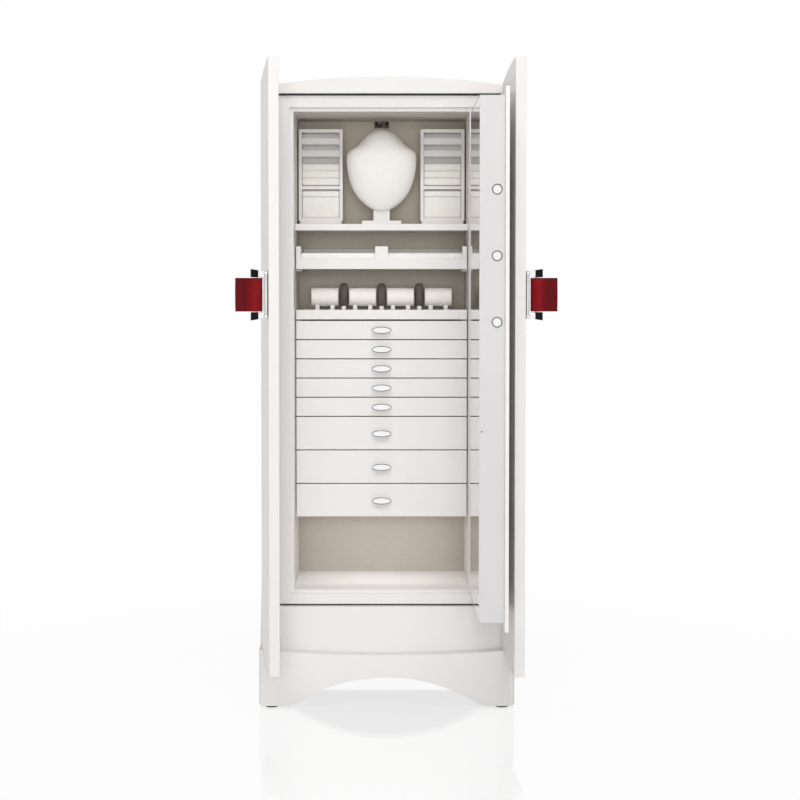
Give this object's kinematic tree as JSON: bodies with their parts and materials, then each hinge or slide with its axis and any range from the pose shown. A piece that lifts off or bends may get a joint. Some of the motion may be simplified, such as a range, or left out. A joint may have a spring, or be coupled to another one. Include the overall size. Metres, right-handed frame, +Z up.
{
  "type": "jewelry cabinet",
  "caption": "Tall white jewelry cabinet on an arched plinth: outer doors with leather pulls, an inner safe door with a mirror, display shelf, trays and drawers.",
  "frame": {"origin": "on the floor, under the middle of the plinth's footprint", "axes": "+X to the viewer's right when facing the doors, +Y from the front to the back, +Z up"},
  "size_m": [0.8554, 1.0035, 1.8],
  "materials": {
    "white_lacquer": "semi-gloss white lacquer",
    "white_steel": "semi-gloss white enamel",
    "chrome": "polished",
    "red_leather": "smooth dark red leather with painted edges",
    "mirror": "silvered glass",
    "cream_leather": "soft cream leather",
    "taupe_leather": "soft dark taupe leather",
    "cream_fabric": "fine cream suede",
    "glide": "matt black",
    "steel": "satin steel",
    "lining_board": "board covered in taupe suede"
  },
  "bodies": {
    "cabinet": {"plinth_front": "white_lacquer", "plinth_rails": "white_lacquer", "floor_glides": "glide", "side_panels": "white_lacquer", "crown": "white_lacquer", "back_panel": "white_lacquer", "bottom_panel": "white_lacquer", "lower_fascia": "white_lacquer", "pivot_seats": "steel", "safe_shell": "white_steel", "safe_frame": "white_steel", "safe_jamb": "white_steel", "liner_panels": "lining_board", "liner_floor": "white_lacquer", "back_lining": "lining_board", "fixed_shelves": "white_lacquer", "runners": "steel", "display_racks": "white_lacquer", "display_pads": "cream_fabric", "bust_form": "cream_fabric", "bust_stand": "white_lacquer", "wall_hook": "chrome", "hinge_knuckles": "steel"},
    "left_outer_door": {"left_door": "white_lacquer", "left_pivot_pins": "steel", "left_handle": "chrome"},
    "left_leather_pull": {"left_pull": "red_leather"},
    "right_outer_door": {"right_door": "white_lacquer", "right_pivot_pins": "steel", "right_handle": "chrome"},
    "right_leather_pull": {"right_pull": "red_leather"},
    "safe_door": {"safe_door_plate": "white_steel", "safe_door_case": "white_steel", "safe_door_mirror": "mirror", "safe_door_hardware": "steel"},
    "bolt_set": {"locking_bolts": "chrome", "bolt_bar": "steel"},
    "bolt_turn": {"bolt_knob": "chrome"},
    "upper_tray_set": {"upper_tray": "white_lacquer", "tray_pads": "cream_fabric"},
    "cushion_tray_set": {"cushion_tray": "white_lacquer", "roll_cushions": "cream_leather", "slim_cushions": "taupe_leather"},
    "drawer_set_1": {"drawer_1": "white_lacquer", "drawer_knob_1": "chrome"},
    "drawer_set_2": {"drawer_2": "white_lacquer", "drawer_knob_2": "chrome"},
    "drawer_set_3": {"drawer_3": "white_lacquer", "drawer_knob_3": "chrome"},
    "drawer_set_4": {"drawer_4": "white_lacquer", "drawer_knob_4": "chrome"},
    "drawer_set_5": {"drawer_5": "white_lacquer", "drawer_knob_5": "chrome"},
    "drawer_set_6": {"drawer_6": "white_lacquer", "drawer_knob_6": "chrome"},
    "drawer_set_7": {"drawer_7": "white_lacquer", "drawer_knob_7": "chrome"},
    "drawer_set_8": {"drawer_8": "white_lacquer", "drawer_knob_8": "chrome"}
  },
  "joints": [
    {"name": "left_door_swing", "type": "hinge", "parent": "cabinet", "child": "left_outer_door", "pos_m": [-0.345, -0.209, 0], "axis": [0, 0, -1], "range_deg": [-83, 19]},
    {"name": "left_pull_swing", "type": "hinge", "parent": "left_outer_door", "child": "left_leather_pull", "pos_m": [-0.34874, -0.53136, 1.173], "axis": [0, 0, 1], "range_deg": [-60, 60]},
    {"name": "safe_door_swing", "type": "hinge", "parent": "cabinet", "child": "safe_door", "pos_m": [0.319, -0.177, 0], "axis": [0, 0, 1], "range_deg": [-90, 10]},
    {"name": "right_door_swing", "type": "hinge", "parent": "cabinet", "child": "right_outer_door", "pos_m": [0.345, -0.209, 0], "axis": [0, 0, 1], "range_deg": [-92.05, 10.27]},
    {"name": "right_pull_swing", "type": "hinge", "parent": "right_outer_door", "child": "right_leather_pull", "pos_m": [0.39912, -0.5268, 1.173], "axis": [0, 0, -1], "range_deg": [-60, 60]},
    {"name": "bolt_slide", "type": "slide", "parent": "safe_door", "child": "bolt_set", "axis": [0, -1, 0], "range_m": [0, 0.022]},
    {"name": "knob_turn", "type": "hinge", "parent": "safe_door", "child": "bolt_turn", "pos_m": [0.309, -0.6455, 1.273], "axis": [1, 0, 0], "range_deg": [-0.5, 60.5]},
    {"name": "upper_tray_slide", "type": "slide", "parent": "cabinet", "child": "upper_tray_set", "axis": [0, -1, 0], "range_m": [0, 0.18]},
    {"name": "cushion_tray_slide", "type": "slide", "parent": "cabinet", "child": "cushion_tray_set", "axis": [0, -1, 0], "range_m": [0, 0.18]},
    {"name": "drawer_1_slide", "type": "slide", "parent": "cabinet", "child": "drawer_set_1", "axis": [0, -1, 0], "range_m": [0, 0.18]},
    {"name": "drawer_2_slide", "type": "slide", "parent": "cabinet", "child": "drawer_set_2", "axis": [0, -1, 0], "range_m": [0, 0.18]},
    {"name": "drawer_3_slide", "type": "slide", "parent": "cabinet", "child": "drawer_set_3", "axis": [0, -1, 0], "range_m": [0, 0.18]},
    {"name": "drawer_4_slide", "type": "slide", "parent": "cabinet", "child": "drawer_set_4", "axis": [0, -1, 0], "range_m": [0, 0.18]},
    {"name": "drawer_5_slide", "type": "slide", "parent": "cabinet", "child": "drawer_set_5", "axis": [0, -1, 0], "range_m": [0, 0.18]},
    {"name": "drawer_6_slide", "type": "slide", "parent": "cabinet", "child": "drawer_set_6", "axis": [0, -1, 0], "range_m": [0, 0.18]},
    {"name": "drawer_7_slide", "type": "slide", "parent": "cabinet", "child": "drawer_set_7", "axis": [0, -1, 0], "range_m": [0, 0.18]},
    {"name": "drawer_8_slide", "type": "slide", "parent": "cabinet", "child": "drawer_set_8", "axis": [0, -1, 0], "range_m": [0, 0.18]}
  ],
  "couplings": [
    {"joint": "right_door_swing", "follows": "safe_door_swing", "ratio": 1.0222},
    {"joint": "knob_turn", "follows": "bolt_slide", "rad_per_m": 47.6}
  ]
}
